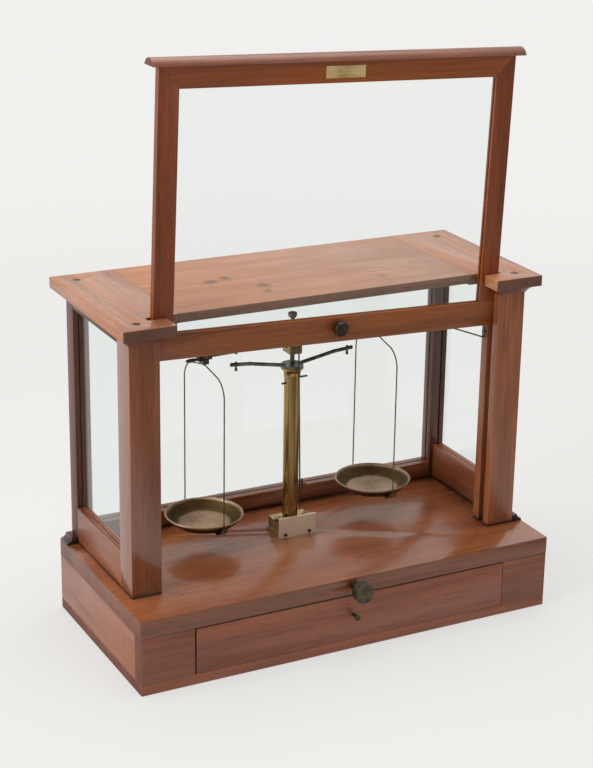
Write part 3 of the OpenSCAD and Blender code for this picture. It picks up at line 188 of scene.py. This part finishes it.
def mahogany(name, grain, seed, light=light_wood, dark=dark_wood, gloss=0.3, coat=0.0, stains=(), grime=()):
    """Varnished mahogany whose fibres run along the axis grain, 0 to 2. Colour is a slow band noise plus a
    fine fibre noise, both drawn out along the grain, darkened by short pores, by wide clouds and on the end
    grain. Each stain (x, y, z, radius in mm) darkens a blurred round spot, and each grime line
    (axis, place in mm, width in mm, strength) a darker band across the wood: painted shade in corners, and
    soiling."""
    material, tree, output = new_material(name)
    source = put(tree, "TexCoord")
    place = source.outputs["Object"]

    def drawn_out(along, across, detail, offset, distortion=0.0):
        scale = [across] * 3
        scale[grain] = along
        shift = (seed * 1.7 + offset, seed * 0.9, seed * 2.3)
        at = put(tree, "Mapping", {"Vector": place, "Location": shift, "Scale": scale})
        return put(tree, "TexNoise", {
            "Vector": at.outputs[0], "Scale": 1.0, "Detail": detail, "Roughness": 0.6,
            "Distortion": distortion,
        }).outputs["Fac"]

    def darkened(base, factor, stain):
        mixed = put(tree, "Mix", {0: factor, 6: base, 7: stain}, data_type="RGBA", blend_type="MULTIPLY")
        return mixed.outputs[2]

    band = drawn_out(along=2.2, across=46, detail=3, offset=0, distortion=0.8)
    fibre = drawn_out(along=16, across=430, detail=5, offset=7)
    pore = drawn_out(along=60, across=1500, detail=2, offset=13)
    cloud = drawn_out(along=5, across=11, detail=3, offset=21)
    tone = maths(tree, "MULTIPLY_ADD", band, 0.55, maths(tree, "MULTIPLY", fibre, 0.45))
    ramp = put(tree, "ValToRGB", {"Fac": tone})
    ramp.color_ramp.interpolation = "EASE"
    for stop, (position, shade) in zip(ramp.color_ramp.elements, ((0.26, dark), (0.72, light))):
        stop.position, stop.color = position, shade
    pores = eased(tree, pore, 0.54, 0.68, high=0.32)
    colour = darkened(ramp.outputs[0], pores, paint(92, 52, 36))
    colour = darkened(colour, eased(tree, cloud, 0.4, 0.72, high=0.45), paint(196, 168, 150))
    cut = put(tree, "SeparateXYZ", {0: source.outputs["Normal"]}).outputs[grain]
    end_grain = eased(tree, maths(tree, "ABSOLUTE", cut), 0.75, 0.95, high=0.75)
    colour = darkened(colour, end_grain, paint(168, 160, 158))
    for x, y, z, radius in stains:
        centre = (x * MM, y * MM, z * MM)
        gap = put(tree, "VectorMath", {0: place, 1: centre}, operation="DISTANCE").outputs["Value"]
        ragged = maths(tree, "MULTIPLY_ADD", fibre, radius * 0.7 * MM, gap)
        spot = eased(tree, ragged, radius * 1.35 * MM, radius * 0.65 * MM, high=0.6)
        colour = darkened(colour, spot, paint(96, 78, 72))
    # Painted shade and soiling: darker bands across the wood, in corners and along edges.
    for axis, at, width, strength in grime:
        along_axis = put(tree, "SeparateXYZ", {0: place}).outputs[axis]
        gap = maths(tree, "ABSOLUTE", maths(tree, "SUBTRACT", along_axis, at * MM))
        ragged = maths(tree, "MULTIPLY_ADD", cloud, width * 0.8 * MM, gap)
        line = eased(tree, ragged, width * 1.4 * MM, width * 0.5 * MM, high=strength)
        colour = darkened(colour, line, paint(70, 52, 46))
    rough = eased(tree, cloud, 0.3, 0.7, gloss - 0.04, gloss + 0.1)
    rough = maths(tree, "MULTIPLY_ADD", end_grain, 0.45, rough)
    bump = put(tree, "Bump", {"Height": tone, "Strength": 0.2, "Distance": 0.3 * MM})
    pits = put(tree, "Bump", {
        "Height": pores, "Strength": 0.4, "Distance": 0.2 * MM, "Normal": bump.outputs[0],
    }, invert=True)
    wood = put(tree, "BsdfPrincipled", {
        "Base Color": colour, "Roughness": rough, "Normal": pits.outputs[0], "IOR": 1.5,
        "Coat Weight": coat, "Coat Roughness": 0.1,
    })
    tree.links.new(wood.outputs[0], output.inputs["Surface"])
    return material


board_count = 0


def planed(node, body, slot="mahogany", edge=0.5, edge_highlight_and_rubbing=1.15, **finish):
    """Copies a board node, splits it into its boards, runs the grain along each one's longest side and
    rounds its edges by edge mm, in wood that is edge_highlight_and_rubbing times as bright there: a
    painted highlight, with rubbed varnish."""
    global board_count
    copy = bmesh.new()
    copy.from_mesh(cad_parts[node].data)
    bmesh.ops.remove_doubles(copy, verts=copy.verts, dist=1e-6)
    bmesh.ops.dissolve_limit(copy, angle_limit=math.radians(0.6), verts=copy.verts, edges=copy.edges)
    for face in copy.faces:
        face.smooth = True
    mesh = bpy.data.meshes.new(node)
    copy.to_mesh(mesh)
    copy.free()
    whole = bpy.data.objects.new("wood_" + node, mesh)
    bpy.context.collection.objects.link(whole)
    bpy.ops.object.select_all(action="DESELECT")
    whole.select_set(True)
    bpy.context.view_layer.objects.active = whole
    bpy.ops.mesh.separate(type="LOOSE")
    boards = sorted(bpy.context.selected_objects, key=lambda o: tuple(o.bound_box[0]))
    for number, board in enumerate(boards):
        board_count += 1
        if len(boards) > 1:
            board.name = f"wood_{node}_{number + 1}"
        corners = np.array(board.bound_box)
        grain = int(np.argmax(corners.max(0) - corners.min(0)))
        board.data.materials.clear()
        board.data.materials.append(mahogany(f"{board.name}_face", grain, board_count, **finish))
        # Edge wood: a painted highlight along the rounded edges, with rubbed varnish,
        # edge_highlight_and_rubbing times as bright.
        highlit_and_rubbed = {**finish}
        for shade, usual in (("light", light_wood), ("dark", dark_wood)):
            highlit_and_rubbed[shade] = (*(min(1.0, c * edge_highlight_and_rubbing) for c in finish.get(shade, usual)[:3]), 1.0)
        board.data.materials.append(mahogany(f"{board.name}_edge", grain, board_count, **highlit_and_rubbed))
        bevel = board.modifiers.new("broken_edges", "BEVEL")
        bevel.width, bevel.segments = edge * MM, 2
        bevel.limit_method, bevel.angle_limit = "ANGLE", math.radians(40)
        bevel.harden_normals, bevel.material = True, 1
        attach(board, body)
        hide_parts(node)


deck_low, deck_high = corners_of("base_top_board")
deck_z = deck_high[Z]
back_posts_y = corners_of("back_posts")[0][Y]
deck_spots = (
    (-150, -60, deck_z, 1.6), (-118, -74, deck_z, 1.1), (-20, -70, deck_z, 1.4), (36, -62, deck_z, 1.0),
    (92, -48, deck_z, 1.5), (-64, -30, deck_z, 1.2), (130, -70, deck_z, 1.1), (58, 6, deck_z, 1.3),
    (-140, 10, deck_z, 1.5),
)
# Painted shade and soiling darken the back of the deck, in the corner by the back posts, and a darker band
# runs along its front edge.
deck_shade_and_soiling = ((Y, deck_low[Y], 2.2, 0.4), (Y, back_posts_y, 20, 0.45))
planed("base_top_board", "case", light=paint(158, 92, 54), dark=paint(118, 64, 36), gloss=0.22, coat=0.2,
       stains=deck_spots, grime=deck_shade_and_soiling, edge_highlight_and_rubbing=0.75)
under_deck = ((Z, deck_low[Z], 1.3, 0.75),)
planed("base_sides", "case", light=paint(152, 90, 58), dark=paint(96, 52, 32), grime=under_deck)
planed("base_back_board", "case", grime=under_deck)
planed("base_bottom_board", "case", light=paint(148, 84, 54), dark=paint(104, 56, 34))
planed("base_front_blocks", "case", light=paint(136, 76, 48), dark=paint(96, 52, 32), grime=under_deck)
planed("drawer_guides", "case", slot="dark_mahogany")

# Drawer: a mahogany front with thin sides, back and bottom behind it.
# It is drawn by a small turned pin of dark metal.
drawer_top_z = corners_of("drawer_front")[1][Z]
planed("drawer_front", "drawer", light=paint(148, 82, 50), dark=paint(104, 54, 30),
       grime=((Z, drawer_top_z, 1, 0.6),))
for board_node in ("drawer_sides", "drawer_back", "drawer_bottom"):
    planed(board_node, "drawer")

# Case frame: four posts stand on the deck and carry the top. The front ones are grooved for the sash,
# and rails between them hold the glass. Painted shade and soiling darken the feet of the posts where
# they meet the deck, and a tack has left a hole in each front post, just under its capital.
# Painted shade and soiling at the feet of the posts.
foot_shade_and_soiling = ((Z, deck_z, 4.5, 1.0),)
post_front_y = corners_of("front_left_post")[0][Y]
back_rail_y = 84
planed("front_left_post", "case", light=paint(134, 72, 34), dark=paint(90, 45, 18), grime=foot_shade_and_soiling, coat=0.9,
       stains=((-174.8, post_front_y, 293.8, 1.1),))
planed("front_right_post", "case", light=paint(156, 94, 60), dark=paint(112, 64, 38), grime=foot_shade_and_soiling,
       stains=((171.8, post_front_y, 293.3, 1.1),))
planed("back_posts", "case", light=paint(102, 58, 38), dark=paint(64, 36, 24), grime=foot_shade_and_soiling)
planed("top_rails", "case", light=paint(104, 54, 34), dark=paint(62, 32, 20))
planed("side_cornices", "case")
# Along the back rail, a band of painted shade and soiling darkens the corner at the back of the case.
planed("bottom_rails", "case", edge_highlight_and_rubbing=1.9, grime=(*foot_shade_and_soiling, (Y, back_rail_y, 9, 0.6)))
planed("post_capitals", "case", slot="dark_mahogany", edge=0.3, light=paint(120, 66, 44),
       dark=paint(72, 38, 24))
planed("foot_coves", "case", slot="dark_mahogany", edge=0.3, light=paint(78, 44, 30), dark=paint(42, 22, 15),
       grime=foot_shade_and_soiling)

# Top: a centre panel tongued into two end boards, whose ears stand over the front posts.
# Spilt liquids have left round dark stains on it, and dirt sits along its front edges.
panel_low, panel_high = corners_of("top_centre_panel")
top_z = panel_high[Z]
ears_front_y = corners_of("top_end_boards")[0][Y]
top_stains = (
    (-79, 36.5, top_z, 9), (-63, 43, top_z, 8), (-41, 10, top_z, 9), (-45, -6.5, top_z, 5),
    (68.6, -6, top_z, 6),
)
# The top boards are painted lighter than the rest of the case: partly their own paler wood and partly painted
# light, for the stronger light that falls on the top.
planed("top_centre_panel", "case", light=paint(172, 114, 78), dark=paint(132, 82, 54), stains=top_stains,
       gloss=0.26, grime=((Y, panel_low[Y], 1.2, 0.6),))
planed("top_end_boards", "case", light=paint(176, 118, 84), dark=paint(136, 88, 60), gloss=0.22,
       grime=((Y, ears_front_y, 1.2, 0.4),))

# Sash: four members glued round a pane, mitred at the top, with a half-round cap.
# It slides in the grooves of the front posts and leans in them.
planed("sash_stiles", "sash", light=paint(142, 68, 22), dark=paint(90, 38, 8))
planed("sash_top_rail", "sash", light=paint(150, 76, 24), dark=paint(100, 46, 12))
planed("sash_bottom_rail", "sash", light=paint(148, 82, 34), dark=paint(104, 54, 20), edge_highlight_and_rubbing=1.5)
planed("sash_cap", "sash", slot="dark_mahogany", edge=0.3, light=paint(140, 84, 58), dark=paint(92, 50, 34))


# Glass: thin old panes, faintly green, set in grooves.
# Lamp light passes straight through them.
def pane_glass(name):
    """Clear glass that bends light a little, mixed with a clear shader for the rays from lamps."""
    material, tree, output = new_material(name)
    glass = put(tree, "BsdfPrincipled", {
        "Base Color": (0.95, 0.98, 0.97, 1), "Roughness": 0.0, "IOR": 1.3, "Transmission Weight": 1.0,
    })
    clear = put(tree, "BsdfTransparent", {"Color": (0.93, 0.95, 0.94, 1)})
    shadow = put(tree, "LightPath").outputs["Is Shadow Ray"]
    mixed = put(tree, "MixShader", {0: shadow, 1: glass.outputs[0], 2: clear.outputs[0]})
    tree.links.new(mixed.outputs[0], output.inputs["Surface"])
    return material


window = pane_glass("old_pane")
for pane in ("side_panes", "back_pane", "sash_pane"):
    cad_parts[pane].data.materials[0] = window


# Metalwork of the balance: lacquered brass, pale worn brass, dark bronze and dulled steel.
# Each metal is cloudy with old tarnish and has fine marks from the lathe, the file or use. The pans have
# bright flat bottoms and walls darkened by painted shade, and the plates are bare.
def metal(name, bright, tarnish, rough, cover, lines, seed=0.0, cloudy=95, dish=None):
    """Old metal. A cloudy noise mixes the bright and the tarnished colour; cover is the share that is
    tarnished. A second noise, drawn out by the scales in lines, marks colour, roughness and height. With
    dish (x, y, radius, width in mm) a ragged ring of painted shade darkens the wall of a pan outside its
    flat bottom, for the darker reflection of the curved wall."""
    material, tree, output = new_material(name)
    place = put(tree, "TexCoord").outputs["Object"]
    cloud = put(tree, "TexNoise", {
        "Vector": place, "Scale": cloudy + seed, "Detail": 5, "Roughness": 0.62,
    }).outputs["Fac"]
    stretched = put(tree, "Mapping", {"Vector": place, "Location": (seed, seed, seed), "Scale": lines})
    line = put(tree, "TexNoise", {"Vector": stretched.outputs[0], "Scale": 3.0, "Detail": 3}).outputs["Fac"]
    both = maths(tree, "MULTIPLY_ADD", line, 0.35, cloud)
    first_tarnish = 0.52 + 0.3 * (0.5 - cover)
    share = put(tree, "MapRange", {"Value": both, "From Min": first_tarnish, "From Max": first_tarnish + 0.3})
    colour = put(tree, "Mix", {0: share.outputs[0], 6: bright, 7: tarnish}, data_type="RGBA").outputs[2]
    # Painted shade on the wall of a pan, for the darker reflection of its curved wall.
    if dish:
        x, y, inner, width = dish
        centre = (x * MM, y * MM, 0)
        flat = put(tree, "VectorMath", {0: place, 1: (1, 1, 0)}, operation="MULTIPLY").outputs[0]
        out = put(tree, "VectorMath", {0: flat, 1: centre}, operation="DISTANCE").outputs["Value"]
        out = maths(tree, "MULTIPLY_ADD", cloud, 4 * MM, out)
        wall = eased(tree, out, inner * MM, (inner + 3) * MM)
        outer = inner + width
        rim = put(tree, "MapRange", {"Value": out, "From Min": outer * MM, "From Max": (outer + 1) * MM})
        ring = maths(tree, "SUBTRACT", wall, rim.outputs[0], clamp=True)
        wall_shade = {0: ring, 6: colour, 7: paint(132, 122, 90)}
        colour = put(tree, "Mix", wall_shade, data_type="RGBA", blend_type="MULTIPLY").outputs[2]
    roughness = put(tree, "MapRange", {
        "Value": both, "From Min": 0.45, "From Max": 0.95, "To Min": rough, "To Max": rough + 0.25,
    })
    bump = put(tree, "Bump", {"Height": line, "Strength": 0.12, "Distance": 0.2 * MM})
    shader = put(tree, "BsdfPrincipled", {
        "Base Color": colour, "Metallic": 1.0, "Roughness": roughness.outputs[0], "Normal": bump.outputs[0],
    })
    tree.links.new(shader.outputs[0], output.inputs["Surface"])
    return material


along_z, along_x = (420, 420, 14), (14, 420, 420)
left_middle, right_middle = (sum(corners_of(pan)) / 2 for pan in ("left_pan", "right_pan"))
pan_ring = (24, 11)  # radius of the flat bottom and width of the wall round it
column_brass = metal("column_brass", paint(164, 134, 84), paint(134, 108, 66), rough=0.16, cover=0.3,
                     lines=(150, 150, 4), cloudy=7)
pan_brass = metal("pan_brass", paint(166, 140, 114), paint(130, 106, 82), rough=0.42, cover=0.4,
                  lines=(60, 60, 60), seed=3, cloudy=18, dish=(*left_middle[:2], *pan_ring))
right_pan_brass = metal("right_pan_brass", paint(176, 150, 128), paint(140, 116, 94), rough=0.42, cover=0.4,
                        lines=(60, 60, 60), seed=4, cloudy=18, dish=(*right_middle[:2], *pan_ring))
wire_brass = metal("wire_brass", paint(132, 110, 82), paint(80, 64, 46), rough=0.35, cover=0.5,
                   lines=(90, 90, 90), seed=5)
plate_brass = metal("plate_brass", paint(250, 222, 164), paint(206, 178, 124), rough=0.48, cover=0.3,
                    lines=along_x, seed=9, cloudy=30)
index_silver = metal("index_silver", paint(246, 236, 212), paint(224, 210, 180), rough=0.5, cover=0.2,
                     lines=along_x, seed=10, cloudy=20)
foot_brass = metal("foot_brass", paint(196, 172, 128), paint(152, 128, 88), rough=0.3, cover=0.4,
                   lines=(40, 40, 40), seed=8, cloudy=20)
fork_brass = metal("fork_brass", paint(150, 128, 92), paint(100, 82, 54), rough=0.26, cover=0.4,
                   lines=along_z, seed=11, cloudy=40)
bob_bronze = metal("bob_bronze", paint(150, 128, 108), paint(96, 80, 66), rough=0.32, cover=0.4,
                   lines=(80, 80, 80), seed=12)
bronze = metal("dark_bronze", paint(98, 90, 74), paint(58, 52, 42), rough=0.34, cover=0.5,
               lines=(80, 80, 80), seed=13, cloudy=50)
dull_steel = metal("dull_steel", paint(132, 132, 124), paint(78, 78, 72), rough=0.34, cover=0.5,
                   lines=(90, 90, 90), seed=15)
metal_of = {
    "drawer_pull_pin": bronze, "top_plugs": bronze, "sash_knob": bronze, "release_knob": bronze,
    "index_plate_screws": bronze, "beam_bar": bronze, "left_poising_nut": bronze, "right_poising_nut": bronze,
    "gravity_bob": bob_bronze,
    "balance_foot": foot_brass, "foot_screws": fork_brass, "fork_block": fork_brass,
    "index_plate": index_silver, "name_plate": plate_brass,
    "column_tube": column_brass, "column_collar": column_brass,
    "left_bow": wire_brass, "right_bow": wire_brass, "left_pan": pan_brass, "right_pan": right_pan_brass,
    "stay_wire": dull_steel, "stay_eyes": dull_steel, "column_pins": dull_steel, "arrest_arms": dull_steel,
    "arrest_pads": dull_steel, "lifting_rod": dull_steel, "fork_bearings": dull_steel,
    "release_shaft": dull_steel, "release_cam": dull_steel, "beam_knives": dull_steel, "pointer": bronze,
    "left_stirrup": dull_steel, "right_stirrup": dull_steel,
}
for part, finish in metal_of.items():
    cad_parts[part].data.materials[0] = finish
